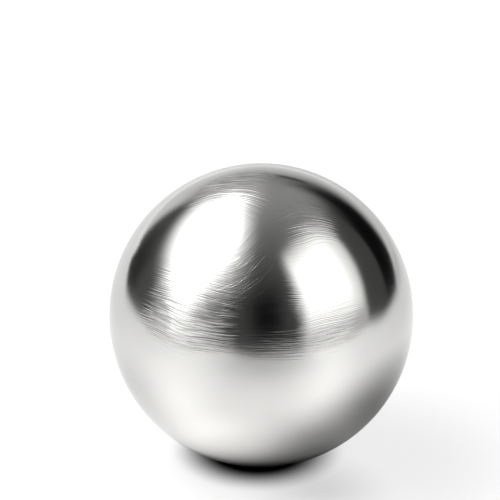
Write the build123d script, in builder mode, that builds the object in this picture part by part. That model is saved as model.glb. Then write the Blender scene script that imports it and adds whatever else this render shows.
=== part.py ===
from build123d import *
import os

# Steel ball, in millimetres: one solid, true sphere of plain steel.
# The origin is the centre of the ball, and +Z is up.
# The lowest point, one radius below the origin, is where the ball touches what it lies on.

# Driving dimension
ball_diameter = 30.0

# Size that follows from it
ball_radius = ball_diameter / 2

# Where the half round profile starts, at the lower pole, and how far it turns to the upper pole
lower_pole_angle = -90.0
pole_to_pole_turn = 180.0

# Ball: a half round profile, closed along the vertical axis and turned once about it
with BuildPart() as ball:
    with BuildSketch(Plane.XZ):
        with BuildLine():
            half_round = CenterArc((0, 0), ball_radius, lower_pole_angle, pole_to_pole_turn)
            Line(half_round @ 1, half_round @ 0)
        make_face()
    revolve(axis=Axis.Z)

ball.part.label = "ball"

os.makedirs("parts", exist_ok=True)
export_step(ball.part, "parts/ball.step")
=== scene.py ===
from math import cos, pi, radians, sin, sqrt

import bpy
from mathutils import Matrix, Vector


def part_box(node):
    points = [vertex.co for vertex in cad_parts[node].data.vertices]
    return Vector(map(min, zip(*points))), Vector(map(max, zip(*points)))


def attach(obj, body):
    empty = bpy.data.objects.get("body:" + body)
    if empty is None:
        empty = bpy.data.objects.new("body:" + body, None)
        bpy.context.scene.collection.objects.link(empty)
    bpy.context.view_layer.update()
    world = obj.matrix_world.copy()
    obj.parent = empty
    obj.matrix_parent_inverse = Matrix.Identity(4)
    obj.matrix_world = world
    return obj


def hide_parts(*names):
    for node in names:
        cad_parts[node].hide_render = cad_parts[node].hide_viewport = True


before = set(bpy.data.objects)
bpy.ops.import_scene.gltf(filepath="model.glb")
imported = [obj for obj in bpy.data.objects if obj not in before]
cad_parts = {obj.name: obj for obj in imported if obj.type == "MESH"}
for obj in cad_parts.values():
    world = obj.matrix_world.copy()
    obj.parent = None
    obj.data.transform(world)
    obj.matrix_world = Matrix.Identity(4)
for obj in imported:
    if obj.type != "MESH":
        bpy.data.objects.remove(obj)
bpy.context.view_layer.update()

# The ball, from the frame
ball_low, ball_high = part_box("ball")
BALL_CENTRE = Vector((0.0, 0.0, 0.0))
BALL_RADIUS = (ball_high.z - ball_low.z) / 2

# Camera: the ball's place and size in the 500 x 500 picture, a long lens and a look from above
PICTURE_WIDTH_PX = 500.0
BALL_CENTRE_PX = (261.4, 314.9)
BALL_RADIUS_PX = 151.9
FOCAL_LENGTH_PX = 2200.0
CAMERA_ELEVATION = radians(25.0)
SENSOR_WIDTH_MM = 36.0
# Nearest and farthest things shown, as shares of the distance to the ball
CLIP_SHARES = (0.1, 50.0)

# Directions are (azimuth, elevation) in degrees, as the ball sees them: azimuth 0 is straight
# behind the ball and 90 to its right in the picture. Ramps are (from, to, level at from, level at
# to), with eased ends.

# Studio, as light from each direction. The room is a dim grey that gets lighter towards the back,
# by the cosine of the angle to it.
ROOM = (-0.9, 0.9, 0.05, 0.31)

# Soft boxes, cards and the backdrop, each painted over the ones before it. Each lies in the
# direction that facing names, on a plane at unit distance, square to that direction. An edge is
# (place, softness, lean) on this plane, with 0 at its middle. A panel without a bottom edge
# reaches down below the floor.
PANELS = {
    "camera_side_grey": dict(
        facing=(-150, 15), level=0.32,
        left=(-0.30, 0.60), right=(0.60, 0.40), top=(0.55, 0.60)),
    "camera_side_dark": dict(
        facing=(180, 20), level=0.05,
        left=(-0.45, 0.50), right=(0.95, 0.35), top=(0.60, 0.60)),
    "camera_side_black": dict(
        facing=(176, 24), level=0.0,
        left=(-0.20, 0.30), right=(0.20, 0.30), bottom=(-0.30, 0.30), top=(0.30, 0.60)),
    "left_back_dark": dict(
        facing=(-60, 8), level=0.07,
        left=(-0.85, 0.40), right=(0.45, 0.20, 0.20), top=(0.60, 0.25)),
    "left_back_black": dict(
        facing=(-52, 6), level=0.03,
        left=(-0.20, 0.20), right=(0.15, 0.20), top=(0.20, 0.35)),
    "right_grey_card": dict(
        facing=(72, 20), level=0.06,
        left=(-0.70, 0.40), right=(0.45, 0.30), top=(0.46, 0.40)),
    "right_black_card": dict(
        facing=(45, 12), level=0.003,
        left=(-0.48, 0.50, -0.20), right=(0.27, 0.05, -0.65), top=(0.32, 0.30, -0.40)),
    "backdrop": dict(
        facing=(0, 15), level=0.68,
        left=(-0.63, 0.28, 0.50), right=(0.56, 0.34, -0.90), top=(0.05, 0.45, -0.30)),
    "backdrop_foot": dict(
        facing=(0, 5), level=1.00,
        left=(-0.90, 0.15), right=(0.24, 0.40), top=(-0.03, 0.05)),
    "backdrop_gap": dict(
        facing=(-3, 24), level=0.0,
        left=(-0.32, 0.15), right=(0.30, 0.10), bottom=(-0.035, 0.05), top=(0.035, 0.07)),
    "left_glow": dict(
        facing=(-112, 12), level=0.38,
        left=(-0.50, 1.00, 0.40), right=(0.40, 0.50, 0.25), top=(0.80, 0.50)),
    "left_halo": dict(
        facing=(-78, 54), level=0.45,
        left=(-1.30, 0.80), right=(1.40, 0.80), bottom=(-0.65, 0.50, 0.60), top=(0.45, 0.90)),
    "left_box": dict(
        facing=(-78, 54), level=3.20,
        left=(-0.61, 1.00, 0.45), right=(0.59, 0.85, -0.40),
        bottom=(-0.36, 0.68, 0.45), top=(0.40, 0.60, -0.08)),
    "left_box_core": dict(
        facing=(-78, 54), level=12.0,
        left=(-0.20, 0.60, 0.35), right=(0.38, 0.55, -0.10),
        bottom=(-0.10, 0.40, 0.45), top=(0.26, 0.40, -0.10)),
    "right_halo": dict(
        facing=(113, 36), level=0.95,
        left=(-0.55, 0.18, -0.25), right=(0.55, 0.25, -0.40), top=(0.53, 0.42, 0.10)),
    "right_foot": dict(
        facing=(113, 36), level=0.50,
        left=(-0.46, 0.14), right=(0.85, 0.30), top=(-0.52, 0.16)),
    "right_box": dict(
        facing=(113, 36), level=1.70,
        left=(-0.33, 0.34, -0.20), right=(0.47, 0.12, -0.32),
        bottom=(-0.38, 0.45, 0.15), top=(0.46, 0.60)),
}
# Cosine of the widest angle off its axis at which a panel still shows
PANEL_REACH = 0.02

# Floor: white, with painted shade and light as set below; sizes in metres
FLOOR_HALF_WIDTH = 1.2
FLOOR_HEIGHT = -BALL_RADIUS
# Share of the floor's look, for the camera, that is white emission not lit by the studio,
# darkened only by the painted contact shade and painted shadow
CAMERA_WHITE_SHARE = 0.75

# On the floor, distances are in ball radii, and a place is (azimuth, distance) from the point of
# contact. Painted shade where the ball touches, and a painted shadow that deepens the real one:
CONTACT_PLACE = (-90.0, 0.02)
PAINTED_CONTACT_SHADE = (0.31, 0.61, 0.0, 1.0)
PAINTED_SHADOW_PLACE = (145.0, 0.67)
PAINTED_SHADOW = (0.0, 0.55, 0.77, 1.0)

# The floor as the ball mirrors it, with painted light and shade by distance: paler near the ball,
# and dark in the end
MIRRORED_FALL = (-1.6, 5.2, 0.97, 0.65)
MIRRORED_END = (12.0, 40.0, 1.0, 0.0)
# Sectors of painted shade that go dark far off: azimuth, outer and inner half angle
PAINTED_DARK_SECTORS = [(172.0, 34.0, 10.0), (65.0, 34.0, 10.0), (-68.0, 36.0, 12.0)]
PAINTED_DARK_START = (7.5, 17.5)
# Painted light along the backdrop's sweep, between straight edges: azimuth across the edge and
# its place
SWEEP_EDGES = [(53.7, -4.4), (-53.7, -4.4)]
SWEEP_SOFTNESS = 2.0
# Level of the sweep's painted light, from its left half to its right half
SWEEP_LEVELS = (-0.1, 0.1, 0.68, 0.56)
# Lanes of painted light: azimuth, narrowness, gain, and the distances over which the lane sets in
PAINTED_LIGHT_LANES = [
    (-130.0, 12.0, 0.21, (0.1, 1.8)),
    (138.0, 14.0, 0.28, (0.1, 1.8)),
    (-95.0, 6.0, 0.12, (1.5, 3.5)),
    (110.0, 6.0, 0.12, (1.5, 5.0)),
]
# Spots of painted shade and painted light: place, and a ramp of the level by the distance to it
PAINTED_SPOTS = [
    ((92.0, 1.4), (0.0, 1.9, 0.53, 1.0)),
    ((150.0, 0.2), (0.05, 0.68, 0.0, 1.0)),
    ((-85.0, 1.3), (0.0, 1.3, 0.88, 1.0)),
    ((-160.0, 0.9), (0.0, 0.8, 1.17, 1.0)),
    ((145.0, 0.85), (0.0, 0.55, 0.80, 1.0)),
    ((27.0, 13.0), (3.0, 8.0, 0.75, 1.0)),
    ((172.0, 7.5), (2.0, 5.5, 0.78, 1.0)),
]

# Ball: squares along one side of each of the mesh's six patches, and how the patches are laid
# out in the UV map
BALL_DIVISIONS = 96
UV_COLUMNS = 3
UV_ROWS = 2
UV_MARGIN = 0.004
# Points closer than one part in this many of the radius are one point
POINT_STEPS = 1e6

# Steel: a satin grain that blurs more across the brushing than along it, and faint clouds of a
# darker tone and of a duller finish. Sizes are in metres.
STEEL_COLOR = (0.725, 0.72, 0.705)
STEEL_TONES = (0.35, 0.65, 0.97, 1.0)
STEEL_ROUGHNESS = (0.35, 0.65, 0.13, 0.15)
CLOUD_SIZE = 5.0e-3
CLOUD_DETAIL = 3.0
TONE_SEED = 0.47
DULLNESS_SEED = 0.83
GRAIN_STRETCH = 0.6
GRAIN_TURN = 0.25

# Brushing strokes. Each set runs in circles around its own axis and is worked into one zone of
# the surface. Axis and zone are directions, reach is the angle from the zone's middle where it is
# worked in full and where it ends, depth is in metres, and ground is the share outside the zone.
BRUSHING = {
    "level": dict(axis=(0, 90), zone=(-150, 24), reach=(12, 24), depth=42e-6, ground=0.07),
    "front_level": dict(axis=(0, 90), zone=(162, 16), reach=(8, 28), depth=20e-6),
    "left_arcs": dict(axis=(-140, 63), zone=(-167, 43), reach=(5, 19), depth=9e-6),
    "left_scratches": dict(
        axis=(-140, 55), zone=(-165, 40), reach=(5, 20), depth=12e-6, sparse=True),
    "right_arcs": dict(axis=(153, 28), zone=(146, 60), reach=(4, 16), depth=24e-6),
    "top_arcs": dict(axis=(-160, 20), zone=(-135, 75), reach=(7, 22), depth=30e-6),
    "back_level": dict(axis=(0, 90), zone=(15, 25), reach=(30, 70), depth=26e-6),
    "back_arcs": dict(axis=(-30, 55), zone=(-20, 30), reach=(15, 50), depth=16e-6),
    "side_arcs": dict(axis=(80, -20), zone=(60, 20), reach=(15, 42), depth=16e-6),
    "side_level": dict(axis=(-75, 75), zone=(-72, 25), reach=(12, 36), depth=22e-6),
    "wear": dict(
        axis=(40, 35), zone=(-20, -10), reach=(60, 120), depth=8e-6, sparse=True),
}
STROKE_LENGTH = 4.5e-3
STROKE_WIDTH = 0.085e-3
STROKE_DETAIL = 1.2
STROKE_SEED_FACTOR = 17.0
# A sparse set keeps only its highest strokes
SPARSE_STROKES = (0.64, 0.74, 0.0, 0.3)
# Patches where the strokes are fainter
PATCH_SIZE = 3.0e-3
PATCH_LEVELS = (0.34, 0.50, 0.7, 1.0)
# Each set of strokes has its own seed
FIRST_SET_SEED = 0.5
SET_SEED_STEP = 0.11
# Slow waves that the strokes follow
DRIFT_SIZE = 5.0e-3
DRIFT_REACH = 0.9e-3
DRIFT_DETAIL = 1.0
DRIFT_SEED = 0.031
# Share of the strokes by height in ball radii: much fainter on the lower half
LOWER_HALF = (0.08, 0.26, 0.15, 1.0)


def steel_camera():
    """A long lens, aimed so that the ball lies where the picture has it."""
    away = Vector((0.0, -cos(CAMERA_ELEVATION), sin(CAMERA_ELEVATION)))
    right = Vector((1.0, 0.0, 0.0))
    up = Vector((0.0, sin(CAMERA_ELEVATION), cos(CAMERA_ELEVATION)))
    distance = BALL_RADIUS * sqrt(1.0 + (FOCAL_LENGTH_PX / BALL_RADIUS_PX) ** 2)
    metres_per_px = distance / FOCAL_LENGTH_PX
    shift_right = (PICTURE_WIDTH_PX / 2 - BALL_CENTRE_PX[0]) * metres_per_px
    shift_up = (BALL_CENTRE_PX[1] - PICTURE_WIDTH_PX / 2) * metres_per_px
    aim = BALL_CENTRE + right * shift_right + up * shift_up
    place = BALL_CENTRE + away * distance
    data = bpy.data.cameras.new("camera")
    data.sensor_width = SENSOR_WIDTH_MM
    data.lens = FOCAL_LENGTH_PX * SENSOR_WIDTH_MM / PICTURE_WIDTH_PX
    data.clip_start = distance * CLIP_SHARES[0]
    data.clip_end = distance * CLIP_SHARES[1]
    camera = bpy.data.objects.new("camera", data)
    camera.location = place
    camera.rotation_euler = (aim - place).to_track_quat("-Z", "Y").to_euler()
    bpy.context.scene.collection.objects.link(camera)
    bpy.context.scene.camera = camera


def direction(azimuth, elevation):
    """Unit vector towards a direction given in degrees."""
    a = radians(azimuth)
    e = radians(elevation)
    return Vector((cos(e) * sin(a), cos(e) * cos(a), sin(e)))


def nodes_of(owner):
    """The empty node tree of a material or world."""
    owner.use_nodes = True
    tree = owner.node_tree
    tree.nodes.clear()
    return tree


def add(tree, kind, **settings):
    node = tree.nodes.new(kind)
    for key, value in settings.items():
        setattr(node, key, value)
    return node


def put(tree, node, socket, value):
    """Links an output to an input, or sets the input to a plain value."""
    if isinstance(value, bpy.types.NodeSocket):
        tree.links.new(value, node.inputs[socket])
    else:
        node.inputs[socket].default_value = value


def maths(tree, operation, first, second=None):
    node = add(tree, "ShaderNodeMath", operation=operation)
    put(tree, node, 0, first)
    if second is not None:
        put(tree, node, 1, second)
    return node.outputs[0]


def vector_maths(tree, operation, first, second=None):
    node = add(tree, "ShaderNodeVectorMath", operation=operation)
    put(tree, node, 0, first)
    if second is not None:
        put(tree, node, "Scale" if operation == "SCALE" else 1, second)
    single = operation in ("DOT_PRODUCT", "LENGTH", "DISTANCE")
    return node.outputs["Value" if single else "Vector"]


def ramp(tree, value, low, high, start=0.0, end=1.0):
    """Maps value from low..high to start..end, clamped, with eased ends."""
    node = add(tree, "ShaderNodeMapRange", interpolation_type="SMOOTHSTEP")
    put(tree, node, "Value", value)
    put(tree, node, 1, low)
    put(tree, node, 2, high)
    put(tree, node, 3, start)
    put(tree, node, 4, end)
    return node.outputs[0]


def noise(tree, place, size, detail, seed, output="Fac"):
    """Soft noise with spots of about the given size; the seed moves it to another part."""
    node = add(tree, "ShaderNodeTexNoise")
    put(tree, node, "Vector", vector_maths(tree, "ADD", place, (seed, seed, seed)))
    put(tree, node, "Scale", 1 / size)
    put(tree, node, "Detail", detail)
    return node.outputs[output]


def panel_share(tree, towards, facing, left, right, top, bottom=None):
    """How much of a direction a panel covers, 0 to 1."""
    azimuth, elevation = facing
    ahead = vector_maths(tree, "DOT_PRODUCT", towards, direction(azimuth, elevation))
    across = vector_maths(tree, "DOT_PRODUCT", towards, direction(azimuth + 90.0, 0.0))
    height = vector_maths(tree, "DOT_PRODUCT", towards, direction(azimuth, elevation + 90.0))
    shown = maths(tree, "GREATER_THAN", ahead, PANEL_REACH)
    ahead = maths(tree, "MAXIMUM", ahead, PANEL_REACH)
    across = maths(tree, "DIVIDE", across, ahead)
    height = maths(tree, "DIVIDE", height, ahead)
    edges = [(across, height, left, 1), (across, height, right, -1), (height, across, top, -1)]
    if bottom is not None:
        edges.append((height, across, bottom, 1))
    for value, other, edge, inward in edges:
        place, softness = edge[:2]
        if len(edge) > 2:
            value = maths(tree, "SUBTRACT", value, maths(tree, "MULTIPLY", other, edge[2]))
        low, high = place - softness / 2, place + softness / 2
        levels = (0.0, 1.0) if inward > 0 else (1.0, 0.0)
        shown = maths(tree, "MULTIPLY", shown, ramp(tree, value, low, high, *levels))
    return shown


def studio_world():
    """The studio for the ball and the floor; plain white for the camera."""
    world = bpy.data.worlds.new("studio")
    bpy.context.scene.world = world
    tree = nodes_of(world)
    towards = add(tree, "ShaderNodeTexCoord").outputs["Generated"]
    back = vector_maths(tree, "DOT_PRODUCT", towards, direction(0.0, 0.0))
    level = ramp(tree, back, *ROOM)
    for panel in PANELS.values():
        edges = {key: value for key, value in panel.items() if key != "level"}
        share = panel_share(tree, towards, **edges)
        missing = maths(tree, "SUBTRACT", panel["level"], level)
        level = maths(tree, "ADD", level, maths(tree, "MULTIPLY", missing, share))
    studio = add(tree, "ShaderNodeBackground")
    put(tree, studio, "Color", level)
    white = add(tree, "ShaderNodeBackground")
    put(tree, white, "Color", (1.0, 1.0, 1.0, 1.0))
    path = add(tree, "ShaderNodeLightPath")
    mix = add(tree, "ShaderNodeMixShader")
    put(tree, mix, 0, path.outputs["Is Camera Ray"])
    put(tree, mix, 1, studio.outputs[0])
    put(tree, mix, 2, white.outputs[0])
    out = add(tree, "ShaderNodeOutputWorld")
    put(tree, out, 0, mix.outputs[0])


def painted_spot(tree, flat, place, levels):
    """A round soft spot of painted shade or painted light on the floor."""
    azimuth, distance = place
    away = vector_maths(tree, "DISTANCE", flat, direction(azimuth, 0.0) * distance)
    return ramp(tree, away, *levels)


def painted_mirrored_floor(tree, flat, far):
    """Level of the floor as the ball mirrors it, at a point and its distance: painted light and
    shade.
    """
    outward = vector_maths(tree, "NORMALIZE", flat)
    level = ramp(tree, far, *MIRRORED_FALL)
    level = maths(tree, "MULTIPLY", level, ramp(tree, far, *MIRRORED_END))
    distant = ramp(tree, far, *PAINTED_DARK_START)
    for azimuth, outer, inner in PAINTED_DARK_SECTORS:
        aimed = vector_maths(tree, "DOT_PRODUCT", outward, direction(azimuth, 0.0))
        dark = ramp(tree, aimed, cos(radians(outer)), cos(radians(inner)))
        dark = maths(tree, "MULTIPLY", dark, distant)
        level = maths(tree, "MULTIPLY", level, maths(tree, "SUBTRACT", 1.0, dark))
    to_right = vector_maths(tree, "DOT_PRODUCT", outward, direction(90.0, 0.0))
    sweep = ramp(tree, to_right, *SWEEP_LEVELS)
    for azimuth, edge in SWEEP_EDGES:
        inside = vector_maths(tree, "DOT_PRODUCT", flat, direction(azimuth, 0.0))
        low, high = edge - SWEEP_SOFTNESS / 2, edge + SWEEP_SOFTNESS / 2
        sweep = maths(tree, "MULTIPLY", sweep, ramp(tree, inside, low, high))
    level = maths(tree, "MAXIMUM", level, sweep)
    for azimuth, narrowness, gain, start in PAINTED_LIGHT_LANES:
        aimed = vector_maths(tree, "DOT_PRODUCT", outward, direction(azimuth, 0.0))
        aimed = maths(tree, "POWER", maths(tree, "MAXIMUM", aimed, 0.0), narrowness)
        aimed = maths(tree, "MULTIPLY", aimed, ramp(tree, far, *start, 0.0, gain))
        level = maths(tree, "ADD", level, aimed)
    for place, levels in PAINTED_SPOTS:
        level = maths(tree, "MULTIPLY", level, painted_spot(tree, flat, place, levels))
    return level


def floor_material():
    """White with the ball's shadow for the camera, partly real and partly painted shade, and the
    mirrored floor with painted light and shade for the ball.
    """
    material = bpy.data.materials.new("floor_white_painted_shade")
    material.cycles.emission_sampling = "NONE"
    tree = nodes_of(material)
    position = add(tree, "ShaderNodeNewGeometry").outputs["Position"]
    flat = vector_maths(tree, "MULTIPLY", position, (1 / BALL_RADIUS, 1 / BALL_RADIUS, 0.0))
    far = vector_maths(tree, "LENGTH", flat)
    # Painted shade: the contact shade and painted shadow darken the floor's colour and its white
    clear = painted_spot(tree, flat, CONTACT_PLACE, PAINTED_CONTACT_SHADE)
    clear = maths(tree, "MULTIPLY", clear, painted_spot(tree, flat, PAINTED_SHADOW_PLACE, PAINTED_SHADOW))
    seen = add(tree, "ShaderNodeLightPath").outputs["Is Camera Ray"]
    choice = add(tree, "ShaderNodeMix", data_type="FLOAT")
    put(tree, choice, "Factor", seen)
    put(tree, choice, "A", painted_mirrored_floor(tree, flat, far))
    put(tree, choice, "B", 1.0)
    diffuse = add(tree, "ShaderNodeBsdfDiffuse")
    put(tree, diffuse, "Color", maths(tree, "MULTIPLY", choice.outputs[0], clear))
    white = add(tree, "ShaderNodeEmission")
    put(tree, white, "Color", clear)
    mix = add(tree, "ShaderNodeMixShader")
    put(tree, mix, 0, maths(tree, "MULTIPLY", seen, CAMERA_WHITE_SHARE))
    put(tree, mix, 1, diffuse.outputs[0])
    put(tree, mix, 2, white.outputs[0])
    out = add(tree, "ShaderNodeOutputMaterial")
    put(tree, out, 0, mix.outputs[0])
    return material


def floor():
    """A wide white floor that keeps the ball's shadow, deepened by painted shade."""
    w = FLOOR_HALF_WIDTH
    z = FLOOR_HEIGHT
    mesh = bpy.data.meshes.new("floor")
    mesh.from_pydata([(-w, -w, z), (w, -w, z), (w, w, z), (-w, w, z)], [], [(0, 1, 2, 3)])
    obj = bpy.data.objects.new("floor", mesh)
    bpy.context.scene.collection.objects.link(obj)
    mesh.materials.append(floor_material())


def ball_mesh(name, divisions, radius):
    """A sphere of six square patches, each a grid spread evenly over its sixth of the surface."""
    point_at = {}
    points = []
    faces = []
    corner_uvs = []
    # Each patch: its outward axis and the two axes along its sides
    axes = [Vector((1, 0, 0)), Vector((0, 1, 0)), Vector((0, 0, 1))]
    patches = []
    for k in range(3):
        u_axis, v_axis = axes[(k + 1) % 3], axes[(k + 2) % 3]
        patches.append((axes[k], u_axis, v_axis))
        patches.append((-axes[k], v_axis, u_axis))
    for number, (out, along, across) in enumerate(patches):
        grid = {}
        for j in range(divisions + 1):
            for i in range(divisions + 1):
                a = (i / divisions - 0.5) * pi / 2
                b = (j / divisions - 0.5) * pi / 2
                p = out + along * (sin(a) / cos(a)) + across * (sin(b) / cos(b))
                p = p.normalized() * radius
                key = tuple(round(c / radius * POINT_STEPS) for c in p)
                if key not in point_at:
                    point_at[key] = len(points)
                    points.append(p)
                grid[i, j] = point_at[key]
        column = number % UV_COLUMNS
        row = number // UV_COLUMNS
        for j in range(divisions):
            for i in range(divisions):
                corners = [(i, j), (i + 1, j), (i + 1, j + 1), (i, j + 1)]
                faces.append([grid[c] for c in corners])
                for ci, cj in corners:
                    u = UV_MARGIN + (1 - 2 * UV_MARGIN) * ci / divisions
                    v = UV_MARGIN + (1 - 2 * UV_MARGIN) * cj / divisions
                    corner_uvs.append(((column + u) / UV_COLUMNS, (row + v) / UV_ROWS))
    mesh = bpy.data.meshes.new(name)
    mesh.from_pydata(points, [], faces)
    layer = mesh.uv_layers.new(name="OFBake")
    for loop, uv in zip(layer.data, corner_uvs):
        loop.uv = uv
    mesh.polygons.foreach_set("use_smooth", [True] * len(mesh.polygons))
    mesh.update()
    return mesh


def brushed_height(tree, place, seed, axis, zone, reach, depth, ground=0.0, sparse=False):
    """Height of one set of strokes, in metres: thin along the axis, long in circles around it."""
    axis = direction(*axis)
    zone = direction(*zone)
    width = STROKE_WIDTH * sin(axis.angle(zone))
    mapping = add(tree, "ShaderNodeMapping", vector_type="TEXTURE")
    put(tree, mapping, "Vector", place)
    put(tree, mapping, "Rotation", axis.to_track_quat("Z", "Y").to_euler())
    put(tree, mapping, "Scale", (STROKE_LENGTH, STROKE_LENGTH, width))
    stroke = noise(tree, mapping.outputs[0], 1.0, STROKE_DETAIL, STROKE_SEED_FACTOR * seed)
    if sparse:
        stroke = ramp(tree, stroke, *SPARSE_STROKES)
    patch = noise(tree, place, PATCH_SIZE, 0.0, seed)
    inner, outer = reach
    aimed = vector_maths(tree, "DOT_PRODUCT", vector_maths(tree, "NORMALIZE", place), zone)
    worked = ramp(tree, aimed, cos(radians(outer)), cos(radians(inner)), ground, 1.0)
    worked = maths(tree, "MULTIPLY", worked, ramp(tree, patch, *PATCH_LEVELS))
    return maths(tree, "MULTIPLY", maths(tree, "MULTIPLY", stroke, worked), depth)


def steel_material():
    """Satin steel, brushed by hand in several overlapping sets of strokes."""
    material = bpy.data.materials.new("brushed_steel_satin")
    tree = nodes_of(material)
    place = add(tree, "ShaderNodeTexCoord").outputs["Object"]
    drift = noise(tree, place, DRIFT_SIZE, DRIFT_DETAIL, DRIFT_SEED, "Color")
    drift = vector_maths(tree, "SUBTRACT", drift, (0.5, 0.5, 0.5))
    wavy = vector_maths(tree, "ADD", place, vector_maths(tree, "SCALE", drift, DRIFT_REACH))
    total = None
    for number, strokes in enumerate(BRUSHING.values()):
        seed = FIRST_SET_SEED + SET_SEED_STEP * number
        height = brushed_height(tree, wavy, seed, **strokes)
        total = height if total is None else maths(tree, "ADD", total, height)
    upward = vector_maths(tree, "DOT_PRODUCT", place, (0.0, 0.0, 1 / BALL_RADIUS))
    total = maths(tree, "MULTIPLY", total, ramp(tree, upward, *LOWER_HALF))
    bump = add(tree, "ShaderNodeBump")
    put(tree, bump, "Height", total)
    put(tree, bump, "Distance", 1.0)
    tone = ramp(tree, noise(tree, place, CLOUD_SIZE, CLOUD_DETAIL, TONE_SEED), *STEEL_TONES)
    cloud = noise(tree, place, CLOUD_SIZE, CLOUD_DETAIL, DULLNESS_SEED)
    dullness = ramp(tree, cloud, *STEEL_ROUGHNESS)
    shader = add(tree, "ShaderNodeBsdfPrincipled")
    put(tree, shader, "Base Color", vector_maths(tree, "SCALE", STEEL_COLOR, tone))
    put(tree, shader, "Metallic", 1.0)
    put(tree, shader, "Roughness", dullness)
    put(tree, shader, "Anisotropic", GRAIN_STRETCH)
    put(tree, shader, "Anisotropic Rotation", GRAIN_TURN)
    tangent = add(tree, "ShaderNodeTangent", direction_type="RADIAL", axis="Z")
    put(tree, shader, "Tangent", tangent.outputs[0])
    put(tree, shader, "Normal", bump.outputs[0])
    out = add(tree, "ShaderNodeOutputMaterial")
    put(tree, out, 0, shader.outputs[0])
    return material


bpy.context.scene.view_settings.view_transform = "Standard"
steel_camera()
studio_world()
floor()

mesh = ball_mesh("steel_ball_surface", BALL_DIVISIONS, BALL_RADIUS)
mesh.materials.append(steel_material())
ball = bpy.data.objects.new("steel_ball", mesh)
bpy.context.scene.collection.objects.link(ball)
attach(ball, "root")
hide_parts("ball")
